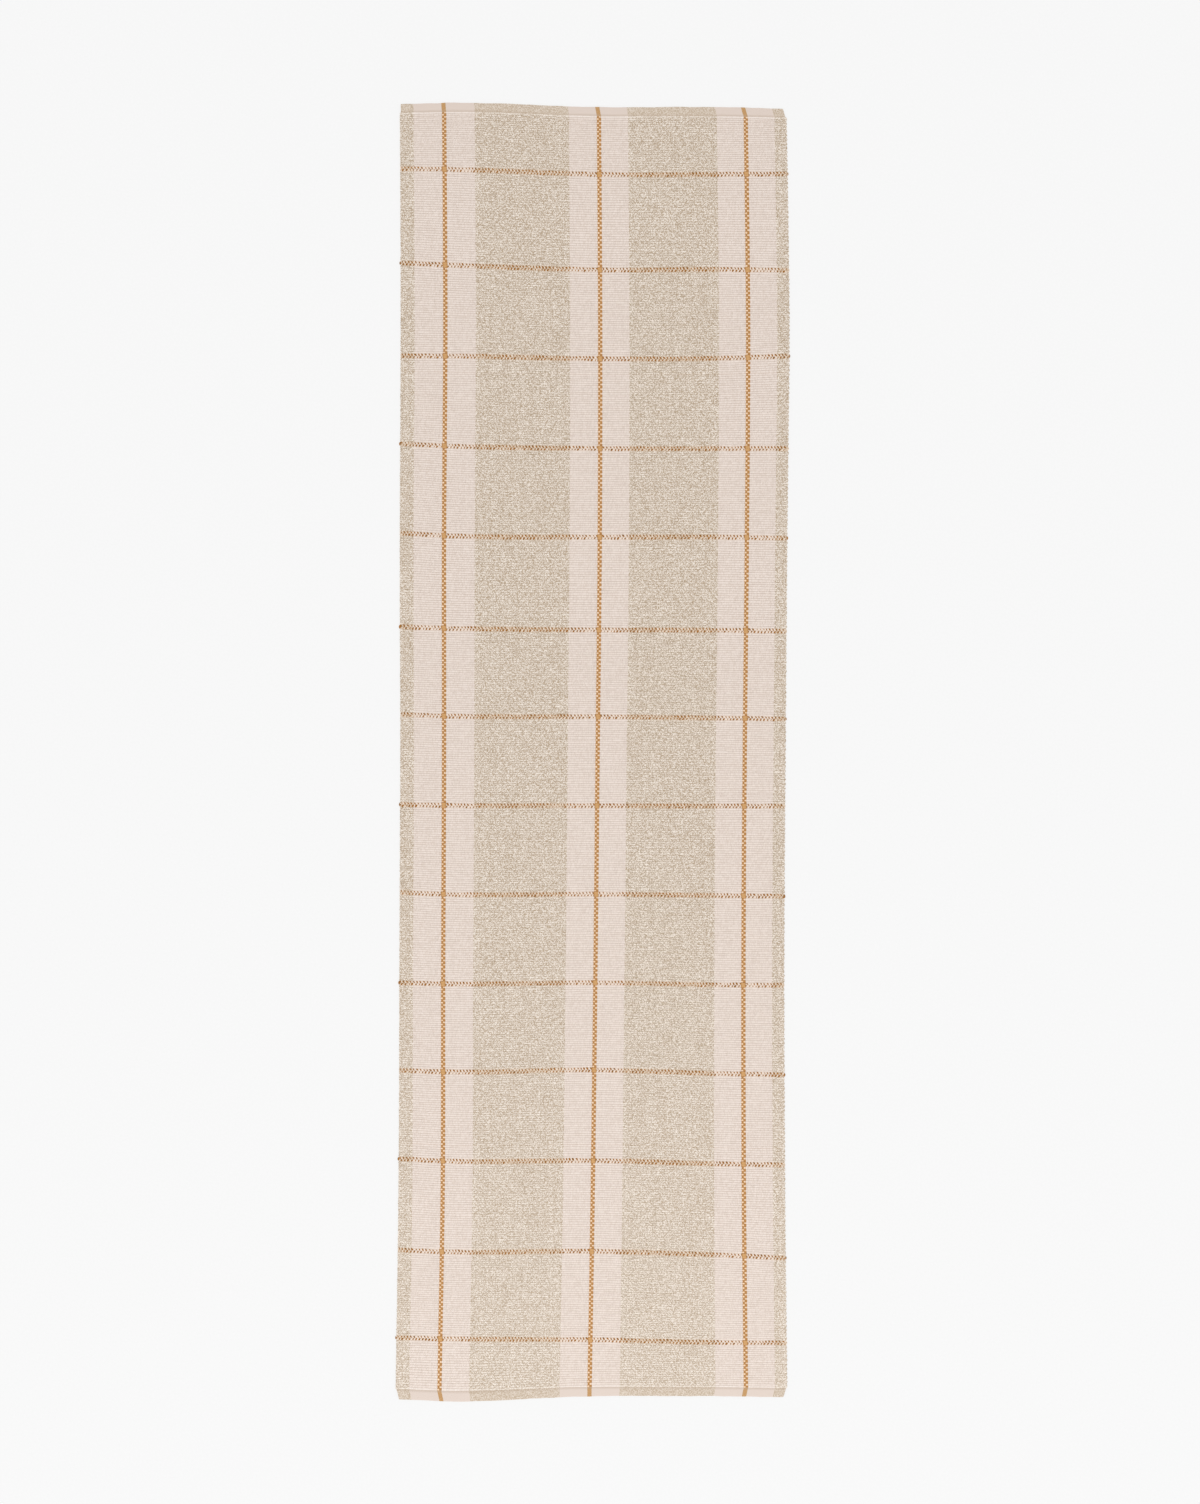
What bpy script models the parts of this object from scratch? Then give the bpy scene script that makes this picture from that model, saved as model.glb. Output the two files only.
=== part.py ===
"""Table runner: a warp-faced, ribbed cotton cloth lying flat on a table.

Fine warp ends run along the length in oat, cream and rust stripes. Pairs of rust weft picks
cross them in shallow channels, and both short ends are turned under twice as a hem.

Frame, in metres: the origin is under the middle of the cloth, +X runs across the width,
+Y runs along the length towards the far end, and +Z is up, out of the face side.

Both ends fold over onto the face side. Each fold line is an empty whose X axis is the hinge:
the pieces beyond it are its children, and all other pieces belong to the main run.
"""

import math

import bmesh
import bpy
from mathutils import Matrix, Vector

# Overall size
CLOTH_WIDTH = 0.450
RUNNER_LENGTH = 1.500
THICKNESS = 0.0024
PIECE_GAP = 0.0003

# Warp stripes from the left selvedge to the right one: name, width, finish
WARP_STRIPES = (
    ("oat_selvedge_left", 0.0160, "oat_cotton"),
    ("cream_outer_left", 0.0325, "cream_cotton"),
    ("rust_warp_left", 0.0050, "rust_warp_cotton"),
    ("cream_inner_left", 0.0330, "cream_cotton"),
    ("oat_field_left", 0.1100, "oat_cotton"),
    ("cream_middle_left", 0.0325, "cream_cotton"),
    ("rust_warp_middle", 0.0050, "rust_warp_cotton"),
    ("cream_middle_right", 0.0315, "cream_cotton"),
    ("oat_field_right", 0.1035, "oat_cotton"),
    ("cream_inner_right", 0.0310, "cream_cotton"),
    ("rust_warp_right", 0.0050, "rust_warp_cotton"),
    ("cream_outer_right", 0.0310, "cream_cotton"),
    ("oat_selvedge_right", 0.0140, "oat_cotton"),
)
STRIPE_EDGE_ROUND = 0.0004

# Rust accent wefts: two picks that turn round a selvedge, lying in a channel of the warp
ACCENT_COUNT = 14
ACCENT_PITCH = 0.1039
FIRST_ACCENT_INSET = 0.0825
PICK_RADIUS = 0.0008
PICK_SPACING = 0.0030
CHANNEL_WIDTH = 0.0058
CHANNEL_FLOOR = 0.0005
TURN_POINTS = 9

# Fold lines, just beyond the third accent weft from each end. The hinge axis lies a little
# above the face side, so that an end that is folded right over rests just clear of the rest.
FAR_FOLD_ACCENT = 2
NEAR_FOLD_ACCENT = 11
FOLD_OFFSET = 0.0039
FOLD_CLEARANCE = 0.0004

# Hems: the fine-woven heading folded under twice, so three layers deep
HEM_DEPTH = 0.0107
HEM_INSET = 0.0029
HEM_LAYER = 0.0006
HEM_LAYER_GAP = 0.0003
FOLD_POINTS = 9

# Slip-stitched thread that holds each hem, in a notch under the ends of the warp stripes
THREAD_RADIUS = 0.00018
STITCH_LENGTH = 0.0080
THREAD_SWING = 0.00035
NOTCH_DEPTH = 0.0013
NOTCH_HEIGHT = 0.0009

# Finishes: sRGB colour, roughness
FINISHES = {
    "cream_cotton": ("E0D3C8", 0.90),
    "oat_cotton": ("D3C3B4", 0.92),
    "rust_warp_cotton": ("C6924F", 0.88),
    "rust_weft_cotton": ("A9713A", 0.88),
    "hem_cotton": ("DDCDBF", 0.92),
    "hem_thread_cotton": ("E6DCD0", 0.80),
}

# Sizes that follow from the ones above
STRIPE_END = RUNNER_LENGTH / 2 - HEM_DEPTH - PIECE_GAP
PICK_HEIGHT = THICKNESS - PICK_RADIUS
FOLD_HEIGHT = THICKNESS + FOLD_CLEARANCE
CUTTER_MARGIN = 0.002


def accent_y(index):
    """Middle of an accent weft's two picks, counted from the far end."""
    return RUNNER_LENGTH / 2 - FIRST_ACCENT_INSET - index * ACCENT_PITCH


FAR_FOLD_Y = accent_y(FAR_FOLD_ACCENT) + FOLD_OFFSET
NEAR_FOLD_Y = accent_y(NEAR_FOLD_ACCENT) - FOLD_OFFSET

# Each section of the cloth: name, low Y, high Y, the accent wefts whose channels cut it
SECTIONS = (
    ("far", FAR_FOLD_Y + PIECE_GAP / 2, STRIPE_END, range(0, FAR_FOLD_ACCENT)),
    (
        "main",
        NEAR_FOLD_Y + PIECE_GAP / 2,
        FAR_FOLD_Y - PIECE_GAP / 2,
        range(FAR_FOLD_ACCENT, NEAR_FOLD_ACCENT + 1),
    ),
    (
        "near",
        -STRIPE_END,
        NEAR_FOLD_Y - PIECE_GAP / 2,
        range(NEAR_FOLD_ACCENT + 1, ACCENT_COUNT),
    ),
)


def clear_scene():
    for obj in list(bpy.data.objects):
        bpy.data.objects.remove(obj, do_unlink=True)


def linear_colour(srgb_hex):
    """An sRGB hex colour as linear RGBA."""
    values = [int(srgb_hex[i : i + 2], 16) / 255 for i in (0, 2, 4)]
    linear = [v / 12.92 if v <= 0.04045 else ((v + 0.055) / 1.055) ** 2.4 for v in values]
    return (*linear, 1.0)


def make_material(name):
    srgb_hex, roughness = FINISHES[name]
    material = bpy.data.materials.new(name)
    material.use_nodes = True
    shader = material.node_tree.nodes["Principled BSDF"]
    shader.inputs["Base Color"].default_value = linear_colour(srgb_hex)
    shader.inputs["Roughness"].default_value = roughness
    shader.inputs["Metallic"].default_value = 0.0
    material.diffuse_color = linear_colour(srgb_hex)
    return material


def make_collection(name):
    collection = bpy.data.collections.new(name)
    bpy.context.scene.collection.children.link(collection)
    return collection


def add_object(name, data, collection, material=None, parent=None):
    """Link an object built in world coordinates about its own location, under its parent."""
    obj = bpy.data.objects.new(name, data)
    collection.objects.link(obj)
    if material is not None:
        data.materials.append(material)
    if parent is not None:
        obj.parent = parent
        obj.matrix_parent_inverse = Matrix.Translation(-parent.location)
    return obj


def add_fold_line(name, y, collection):
    """An empty on the hinge axis of an end that folds over."""
    empty = bpy.data.objects.new(name, None)
    empty.empty_display_type = "ARROWS"
    empty.empty_display_size = 0.05
    empty.location = (0.0, y, FOLD_HEIGHT)
    collection.objects.link(empty)
    return empty


def box_mesh(name, boxes):
    """One mesh of separate boxes, each given by its low and high corner."""
    mesh = bpy.data.meshes.new(name)
    shape = bmesh.new()
    for low, high in boxes:
        low, high = Vector(low), Vector(high)
        size = Matrix.Diagonal((*(high - low), 1.0))
        bmesh.ops.create_cube(shape, size=1.0, matrix=Matrix.Translation((low + high) / 2) @ size)
    shape.to_mesh(mesh)
    shape.free()
    return mesh


def add_channel_cutter(section, accents, collection):
    """Boxes that cut the channels of a section's accent wefts out of the warp's upper side."""
    reach = CLOTH_WIDTH / 2 + CUTTER_MARGIN
    boxes = []
    for index in accents:
        y = accent_y(index)
        low = (-reach, y - CHANNEL_WIDTH / 2, CHANNEL_FLOOR)
        high = (reach, y + CHANNEL_WIDTH / 2, THICKNESS + CUTTER_MARGIN)
        boxes.append((low, high))
    return add_cutter(f"channels_{section}", boxes, collection)


def add_notch_cutter(name, side, collection):
    """A box that cuts the hem thread's notch under the ends of the warp stripes."""
    reach = CLOTH_WIDTH / 2 + CUTTER_MARGIN
    y_in = side * (STRIPE_END - NOTCH_DEPTH)
    y_out = side * (STRIPE_END + CUTTER_MARGIN)
    low = (-reach, min(y_in, y_out), -CUTTER_MARGIN)
    high = (reach, max(y_in, y_out), NOTCH_HEIGHT)
    return add_cutter(name, [(low, high)], collection)


def add_cutter(name, boxes, collection):
    cutter = add_object(name, box_mesh(name, boxes), collection)
    cutter.hide_render = True
    cutter.display_type = "WIRE"
    return cutter


def cut(obj, cutter):
    boolean = obj.modifiers.new(cutter.name, "BOOLEAN")
    boolean.operation = "DIFFERENCE"
    boolean.solver = "EXACT"
    boolean.object = cutter


def add_stripe(name, x_low, x_high, y_low, y_high, material, parent, cutters, collection):
    """One section of a warp stripe: a rounded slab of the cloth's full thickness."""
    centre = Vector(((x_low + x_high) / 2, (y_low + y_high) / 2, THICKNESS / 2))
    half = Vector(((x_high - x_low) / 2, (y_high - y_low) / 2, THICKNESS / 2))
    stripe = add_object(name, box_mesh(name, [(-half, half)]), collection, material, parent)
    stripe.location = centre
    bevel = stripe.modifiers.new("rounded edges", "BEVEL")
    bevel.width = STRIPE_EDGE_ROUND
    bevel.segments = 1
    for cutter in cutters:
        cut(stripe, cutter)
    return stripe


def add_warp(materials, parents, cutters, collection):
    """All warp stripes, side by side from the left selvedge, in three sections each."""
    x = -CLOTH_WIDTH / 2
    last = len(WARP_STRIPES) - 1
    for number, (stripe, width, finish) in enumerate(WARP_STRIPES):
        x_low = x + (PIECE_GAP / 2 if number > 0 else 0.0)
        x_high = x + width - (PIECE_GAP / 2 if number < last else 0.0)
        for section, y_low, y_high, _ in SECTIONS:
            add_stripe(
                f"{stripe}_{section}",
                x_low,
                x_high,
                y_low,
                y_high,
                materials[finish],
                parents[section],
                cutters[section],
                collection,
            )
        x += width


def add_yarn(name, points, radius, sides_resolution, material, parent, collection):
    """A round yarn along world points, with closed ends and its origin on its first point."""
    curve = bpy.data.curves.new(name, "CURVE")
    curve.dimensions = "3D"
    curve.bevel_depth = radius
    curve.bevel_resolution = sides_resolution
    curve.use_fill_caps = True
    spline = curve.splines.new("POLY")
    spline.points.add(len(points) - 1)
    origin = Vector(points[0])
    for knot, point in zip(spline.points, points):
        knot.co = (*(Vector(point) - origin), 1.0)
    yarn = add_object(name, curve, collection, material, parent)
    yarn.location = origin
    return yarn


def add_accent_weft(index, material, parent, collection):
    """Two picks across the cloth that turn in a half circle at one selvedge."""
    y = accent_y(index)
    side = 1 if index % 2 == 0 else -1
    radius = PICK_SPACING / 2
    edge = CLOTH_WIDTH / 2 - PIECE_GAP
    turn_x = edge - PICK_RADIUS - radius
    points = [(-side * edge, y + radius, PICK_HEIGHT)]
    for step in range(TURN_POINTS):
        angle = math.pi / 2 - math.pi * step / (TURN_POINTS - 1)
        points.append(
            (side * (turn_x + radius * math.cos(angle)), y + radius * math.sin(angle), PICK_HEIGHT)
        )
    points.append((-side * edge, y - radius, PICK_HEIGHT))
    return add_yarn(
        f"rust_weft_{index + 1:02d}", points, PICK_RADIUS, 2, material, parent, collection
    )


def hem_path():
    """The folded heading's middle line: distance in from the cloth's end, and height.

    The upper layer runs out from the stripes, folds round to the lower layer, which runs back
    and folds up inside, so that the raw edge ends between the other two.
    """
    half = HEM_LAYER / 2
    outer_radius = HEM_LAYER + HEM_LAYER_GAP
    inner_radius = outer_radius / 2
    outer_centre = half + outer_radius
    inner_centre = HEM_DEPTH - half - inner_radius
    raw_edge = outer_centre + HEM_LAYER
    lower = half
    upper = lower + 2 * outer_radius
    path = [(HEM_DEPTH, upper)]
    for step in range(FOLD_POINTS):
        angle = math.pi / 2 + math.pi * step / (FOLD_POINTS - 1)
        path.append(
            (
                outer_centre + outer_radius * math.cos(angle),
                lower + outer_radius + outer_radius * math.sin(angle),
            )
        )
    for step in range(FOLD_POINTS):
        angle = -math.pi / 2 + math.pi * step / (FOLD_POINTS - 1)
        path.append(
            (
                inner_centre + inner_radius * math.cos(angle),
                lower + inner_radius + inner_radius * math.sin(angle),
            )
        )
    path.append((raw_edge, lower + outer_radius))
    return path


def add_hem(name, side, material, parent, collection):
    """A hem: the folded middle line carried across the width and given the layer's thickness."""
    half_width = CLOTH_WIDTH / 2 - HEM_INSET
    end = side * RUNNER_LENGTH / 2
    shape = bmesh.new()
    line = [shape.verts.new((-half_width, -side * inset, z)) for inset, z in hem_path()]
    edges = [shape.edges.new(pair) for pair in zip(line, line[1:])]
    carried = bmesh.ops.extrude_edge_only(shape, edges=edges)
    moved = [item for item in carried["geom"] if isinstance(item, bmesh.types.BMVert)]
    bmesh.ops.translate(shape, verts=moved, vec=(2 * half_width, 0.0, 0.0))
    mesh = bpy.data.meshes.new(name)
    shape.to_mesh(mesh)
    shape.free()
    hem = add_object(name, mesh, collection, material, parent)
    hem.location = (0.0, end, 0.0)
    thickness = hem.modifiers.new("cloth thickness", "SOLIDIFY")
    thickness.thickness = HEM_LAYER
    thickness.offset = 0.0
    thickness.use_even_offset = True
    return hem


def add_hem_thread(name, side, material, parent, collection):
    """The slip-stitched thread: a zigzag in its notch, between the hem and the stripes."""
    half_width = CLOTH_WIDTH / 2 - HEM_INSET
    steps = round(2 * 2 * half_width / STITCH_LENGTH)
    middle = STRIPE_END - NOTCH_DEPTH / 2
    height = NOTCH_HEIGHT / 2
    points = []
    for step in range(steps + 1):
        x = -half_width + 2 * half_width * step / steps
        swing = THREAD_SWING if step % 2 else -THREAD_SWING
        points.append((x, side * (middle + swing), height))
    return add_yarn(name, points, THREAD_RADIUS, 1, material, parent, collection)


def build_runner():
    clear_scene()
    runner = make_collection("table_runner")
    cutter_collection = make_collection("cutters")
    materials = {name: make_material(name) for name in FINISHES}

    parents = {
        "far": add_fold_line("far_fold_line", FAR_FOLD_Y, runner),
        "main": None,
        "near": add_fold_line("near_fold_line", NEAR_FOLD_Y, runner),
    }
    cutters = {}
    for section, _, _, accents in SECTIONS:
        cutters[section] = [add_channel_cutter(section, accents, cutter_collection)]
    cutters["far"].append(add_notch_cutter("notch_far", 1, cutter_collection))
    cutters["near"].append(add_notch_cutter("notch_near", -1, cutter_collection))

    add_warp(materials, parents, cutters, runner)
    for section, _, _, accents in SECTIONS:
        for index in accents:
            add_accent_weft(index, materials["rust_weft_cotton"], parents[section], runner)
    for end, side in (("far", 1), ("near", -1)):
        add_hem(f"hem_{end}", side, materials["hem_cotton"], parents[end], runner)
        thread = materials["hem_thread_cotton"]
        add_hem_thread(f"hem_thread_{end}", side, thread, parents[end], runner)


build_runner()
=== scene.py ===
"""Handwoven cotton table runner, laid flat.

A warp-faced rib weave: cream and oat warp stripes cover thick hidden weft cords, and three
pairs of thick rust warp yarns run the length. Fourteen lines of rust weft cross the cloth.
The long edges are scalloped by the turning weft, and both short ends have folded hems.
"""

import math

import bpy
import numpy as np
from bpy.props import FloatProperty, FloatVectorProperty, PointerProperty
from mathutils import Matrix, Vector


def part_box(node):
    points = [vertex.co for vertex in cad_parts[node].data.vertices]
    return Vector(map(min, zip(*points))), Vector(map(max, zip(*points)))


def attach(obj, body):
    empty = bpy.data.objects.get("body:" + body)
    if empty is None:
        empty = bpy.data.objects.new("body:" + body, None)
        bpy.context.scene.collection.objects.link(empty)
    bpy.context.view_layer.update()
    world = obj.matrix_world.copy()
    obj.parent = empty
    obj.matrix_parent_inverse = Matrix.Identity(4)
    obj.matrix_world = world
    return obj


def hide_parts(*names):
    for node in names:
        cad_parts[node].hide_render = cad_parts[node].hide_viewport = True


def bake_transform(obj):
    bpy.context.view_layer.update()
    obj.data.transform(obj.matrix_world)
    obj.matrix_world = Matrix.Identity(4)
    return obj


bl_info = {
    "name": "Handwoven table runner",
    "version": (1, 0, 0),
    "blender": (4, 5, 0),
    "location": "3D View > Sidebar > Runner",
    "description": "Weaves a rib-weave cotton table runner with rust accent lines",
    "category": "Add Mesh",
}

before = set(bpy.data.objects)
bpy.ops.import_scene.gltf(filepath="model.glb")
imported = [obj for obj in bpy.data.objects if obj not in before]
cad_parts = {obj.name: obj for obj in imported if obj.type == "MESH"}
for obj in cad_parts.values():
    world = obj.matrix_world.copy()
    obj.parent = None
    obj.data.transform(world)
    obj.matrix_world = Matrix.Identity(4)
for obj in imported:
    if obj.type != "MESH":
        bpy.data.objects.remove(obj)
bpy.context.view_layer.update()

MM = 0.001

# Warp stripes from the left selvedge to the right one, with the cotton each is warped in
STRIPES = (
    ("oat_selvedge_left", "oat"),
    ("cream_outer_left", "cream"),
    ("rust_warp_left", "rust"),
    ("cream_inner_left", "cream"),
    ("oat_field_left", "oat"),
    ("cream_middle_left", "cream"),
    ("rust_warp_middle", "rust"),
    ("cream_middle_right", "cream"),
    ("oat_field_right", "oat"),
    ("cream_inner_right", "cream"),
    ("rust_warp_right", "rust"),
    ("cream_outer_right", "cream"),
    ("oat_selvedge_right", "oat"),
)
ACCENTS = 14
ACCENT_RIBS = 2
# The accent lines beside which the folds run, counted from the far end
FOLD_ACCENTS = {"far": 3, "near": 12}
SEAM_RIBS = 6  # ribs between those accent lines and the end of the middle's strips
HEM_DRAW = {"far": 0.006, "near": 0.014}  # share by which a hem is narrower at its fold
HEM_SLIDE = {"far": -1.4 * MM, "near": 0.0}  # how far a hem's fold has slid sideways
RUST_LEAN = {"far": -0.6 * MM, "near": 0.3 * MM}  # how much further its rust warps lean
LEAN_REACH = 5 * MM  # how far beside a rust warp the cloth leans with it
HEM_RIPPLE = 0.5 * MM  # how uneven the line of a hem's fold is
UNDER_GAP = 0.12 * MM  # the plain ribs' height above the table, which the rust yarns touch
EDGE_ROUND = 1.3 * MM  # radius of the rounded selvedge
YARN_MIDDLE = 0.35 * MM  # half thickness of a rust yarn where it crosses the cloth's middle
LOOP_INSET = 1.6 * MM  # how far inside the selvedge a rust weft's straight runs end
LOOP_FLAT = 1.2 * MM  # length over which a rust weft flattens before it turns
LOOP_LIFT = 0.06 * MM  # how far the turn stands above the selvedge
MARK_FALL = 0.30 * MM  # how far a mark falls off toward the valleys on both sides of it
MARK_SCATTER = 0.24 * MM  # how unevenly high the marks stand
# A mark's middle above the ribs, in mm: just under the warp ends except over the rust ones
MARK_LIFT_MM = {"cream": -0.06, "oat": -0.065, "rust": 0.30}


def hem_edge(side):
    """Where the hem's turned layers stop and the ribbed cloth begins."""
    low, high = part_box(f"cream_outer_left_{side}")
    return high.y if side == "far" else low.y


def middle_of(node):
    low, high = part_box(node)
    return (low + high) / 2


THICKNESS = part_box("cream_outer_left_main")[1].z
MID = THICKNESS / 2
FACE_Y = {side: hem_edge(side) for side in ("far", "near")}
ACCENT_Y = [middle_of(f"rust_weft_{i + 1:02d}").y for i in range(ACCENTS)]


def stripe_edges():
    """The lines between neighbouring warp stripes, halfway across each gap in the frame."""
    boxes = [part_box(f"{name}_main") for name, _ in STRIPES]
    inner = [(a[1].x + b[0].x) / 2 for a, b in zip(boxes, boxes[1:])]
    return np.array([boxes[0][0].x, *inner, boxes[-1][1].x])


STRIPE_X = stripe_edges()
HALF_WIDTH = STRIPE_X[-1]

# How far the cloth has been pulled from a true rectangle, in mm. Across: at seven lines
# from the far end to the near one, for the left edge, the three rust warps and the right
# edge. Along: for the far end, every accent line and the near end, from left to right.
DRIFT_X = (-225.0, -174.0, 6.5, 177.5, 225.0)
ACROSS_Y = (750.0, 500.0, 250.0, 0.0, -250.0, -500.0, -750.0)
ACROSS = (
    (0.0, 0.5, 0.0, -0.5, -0.5),
    (1.0, 2.0, 1.5, 2.5, 3.0),
    (0.0, 0.5, 1.0, 1.0, 0.5),
    (0.5, 0.5, -1.5, -1.5, -1.5),
    (-0.5, -0.5, -4.0, -3.0, -3.0),
    (-1.5, -1.0, -7.0, -2.5, -2.0),
    (-5.0, -5.0, -11.0, 0.0, 0.5),
)
ALONG_X = (-222.0, -154.0, 6.0, 142.0, 220.0)
ALONG = (
    (3.5, 5.0, 0.0, 0.0, -2.0),
    (10.5, 9.5, 4.0, 4.0, 4.5),
    (5.0, 2.0, -3.0, -2.5, -3.5),
    (1.0, 0.5, -2.5, -2.0, 0.5),
    (2.5, -0.5, -3.0, -3.0, -3.0),
    (2.5, -1.0, -2.0, -2.0, -3.0),
    (-2.5, -4.5, -6.0, -6.5, -7.5),
    (-0.5, -2.5, -3.0, -4.5, -5.5),
    (-1.0, -2.5, -2.5, -3.0, -3.0),
    (0.5, -2.0, -1.5, -3.0, -4.0),
    (-0.5, -2.0, -0.5, -3.0, -3.5),
    (1.5, -0.5, 2.0, -2.0, -3.5),
    (2.5, -0.5, 0.5, -3.0, -4.5),
    (0.5, -2.0, -1.0, -5.0, -8.5),
    (2.5, 1.0, 0.0, -3.0, -3.5),
    (-2.5, -5.0, 1.0, 1.0, 0.0),
)


def linear(code):
    """An sRGB colour written as six hex digits, as linear light."""
    parts = [int(code[i : i + 2], 16) / 255 for i in (0, 2, 4)]
    return tuple(
        v / 12.92 if v <= 0.04045 else ((v + 0.055) / 1.055) ** 2.4 for v in parts
    )


def length(name, description, default_mm):
    """A length property shown in the scene's unit, given here in millimetres."""
    return FloatProperty(
        name=name,
        description=description,
        default=default_mm * MM,
        subtype="DISTANCE",
        unit="LENGTH",
        precision=5,
    )


def colour(name, description, code):
    """A colour property, given as sRGB hex."""
    return FloatVectorProperty(
        name=name,
        description=description,
        default=linear(code),
        subtype="COLOR",
        size=3,
        min=0.0,
        max=1.0,
    )


class RunnerSizes(bpy.types.PropertyGroup):
    """Sizes of the weave and of the sewn ends."""

    rib_pitch: length("Rib pitch", "Spacing of the hidden weft cords", 2.6)
    accent_band: length("Accent band", "Depth of one line of two rust picks", 5.6)
    rib_relief: length("Rib relief", "Height of a rib's crest above its valley", 0.65)
    pitch_scatter: length("Pitch scatter", "Unevenness of the beaten ribs", 0.10)
    height_scatter: length("Height scatter", "Unevenness of the ribs' height", 0.10)
    waver: length("Waver", "How far a rib wavers to either side", 0.3)
    scallop: length("Scallop", "How far the turning weft stands out at an edge", 0.8)
    rust_yarn_proud: length("Rust yarn proud", "Rust warp above the cream ribs", 0.15)
    mark_pitch: length("Mark pitch", "Spacing of the rust weft's slanted marks", 3.9)
    mark_relief: length("Mark relief", "Height of a slanted mark", 0.26)
    hem_inset: length("Hem inset", "How far a hem stops short of the selvedge", 1.3)
    hem_layer: length("Hem layer", "Thickness of one layer of a hem", 0.6)
    hem_gap: length("Hem layer gap", "Air between the layers of a hem", 0.3)
    stitch: length("Stitch", "Length of one slip stitch", 8.0)
    thread: length("Thread", "Diameter of the sewing thread", 0.36)


class RunnerColours(bpy.types.PropertyGroup):
    """Colours of the cottons, among them painted shade and painted highlight colours, and the
    colour of the floor.
    """

    cream: colour("Cream", "Cream warp", "EEE1D8")
    # Darker cream: painted shade between the ribs, and the darker tone of the cream flecks and
    # streaks and of the thread's plies.
    darker_cream_and_painted_shade: colour("Cream shade", "Cream warp between the ribs", "CDBBAD")
    # Pale oat: the light fibres, also partly painted light toward the near end, and a painted
    # highlight on the first rib beside each hem.
    pale_oat_and_highlight: colour("Oat light", "Light fibres of the oat warp", "F8EEE3")
    oat_dark: colour("Oat dark", "Dark fibres of the oat warp", "BAA68E")
    # Painted shade, between the ribs of the oat stripes and along a hem's inner edge.
    oat_painted_shade: colour("Oat shade", "Oat warp between the ribs", "BAA692")
    # Painted highlight on the rust warp's crowns; also the pale rust tint near the accent lines.
    pale_rust_and_highlight: colour("Rust light", "Top of the rust warp yarns", "FBE0C4")
    rust: colour("Rust", "Rust warp yarns", "E6BC8E")
    # Painted shade where the rust warp dips; also the deep rust of a hem's unevenly dyed rust
    # warps.
    deep_rust_and_painted_shade: colour("Rust dark", "Rust warp where it dips", "BC8A52")
    weft: colour("Rust weft", "Rust weft marks", "A8702F")
    weft_dark: colour("Rust weft dark", "Rust weft between the marks", "744F1E")
    hem: colour("Hem cream", "Cream part of a hem", "E0D1C7")
    hem_oat: colour("Hem oat", "Oat part of a hem", "E0D3C5")
    hem_rust: colour("Hem rust", "Rust warps in a hem", "C8A274")
    rust_crossing: colour("Rust crossing", "Rust weft where it covers the warps", "CFA06A")
    # Painted highlight on the first rib beside each hem.
    cream_painted_highlight: colour("Cream bright", "First rib beside a hem", "F8EFE8")
    thread: colour("Sewing thread", "Hem thread", "E6DCD0")
    floor: colour("Floor", "Pale floor", "F7F7F7")


def sizes():
    return bpy.context.scene.runner_sizes


def colours():
    return bpy.context.scene.runner_colours


# ---------------------------------------------------------------- shape of the cloth


def smooth_between(places, values, at):
    """A smooth curve through values at ascending places, read at `at`.

    Cubic Hermite pieces, whose slope at each place is the mean of the slopes beside it.
    """
    rises = np.diff(values) / np.diff(places)
    slopes = np.concatenate([rises[:1], (rises[1:] + rises[:-1]) / 2, rises[-1:]])
    i = np.clip(np.searchsorted(places, at) - 1, 0, len(places) - 2)
    width = places[i + 1] - places[i]
    t = np.clip((at - places[i]) / width, 0.0, 1.0)
    rest = 1 - t
    starting = rest**2 * ((1 + 2 * t) * values[i] + t * width * slopes[i])
    ending = t**2 * ((3 - 2 * t) * values[i + 1] - rest * width * slopes[i + 1])
    return starting + ending


def hashed(*keys):
    """A repeatable number from 0 to 1 for whole-number keys: the fraction of a large sine."""
    mixed = sum(np.asarray(k, float) * w for k, w in zip(keys, (12.9898, 78.233, 37.719)))
    return np.mod(np.sin(mixed) * 43758.5453, 1.0)


def patchy(u, rib, lattice):
    """Noise from 0 to 1 that varies smoothly across the cloth and afresh at each rib."""
    place = u / lattice
    low = np.floor(place)
    t = place - low
    t = t * t * (3 - 2 * t)
    return hashed(low, rib) * (1 - t) + hashed(low + 1, rib) * t


def mottled(u, v, wide, deep):
    """Noise from 0 to 1 that varies smoothly across and along the cloth."""
    place = v / deep
    low = np.floor(place)
    t = place - low
    t = t * t * (3 - 2 * t)
    return patchy(u, low, wide) * (1 - t) + patchy(u, low + 1, wide) * t


def drift(u, v):
    """How far the point (u, v) of the straight cloth is moved across and along, in metres.

    Each guide line's drift is a smooth curve along the cloth, and between the guides
    another smooth curve runs across it: a sum over the guides of the curve that is 1 at
    that guide and 0 at the others, times the guide's own. Every rib wavers on top.
    """
    size = sizes()
    ends = [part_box("hem_far")[1].y, *ACCENT_Y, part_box("hem_near")[0].y]
    moved = []
    for places_u, places_v, table in (
        (DRIFT_X, np.array(ACROSS_Y) * MM, ACROSS),
        (ALONG_X, np.array(ends), ALONG),
    ):
        columns = np.array(table)[::-1].T * MM
        moved.append(
            sum(
                smooth_between(np.array(places_u) * MM, only_here, u)
                * smooth_between(places_v[::-1], column, v)
                for only_here, column in zip(np.eye(len(places_u)), columns)
            )
        )
    waver = mottled(u, v, 13 * MM, size.rib_pitch) - 0.5
    return moved[0], moved[1] + 2 * size.waver * waver


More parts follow.
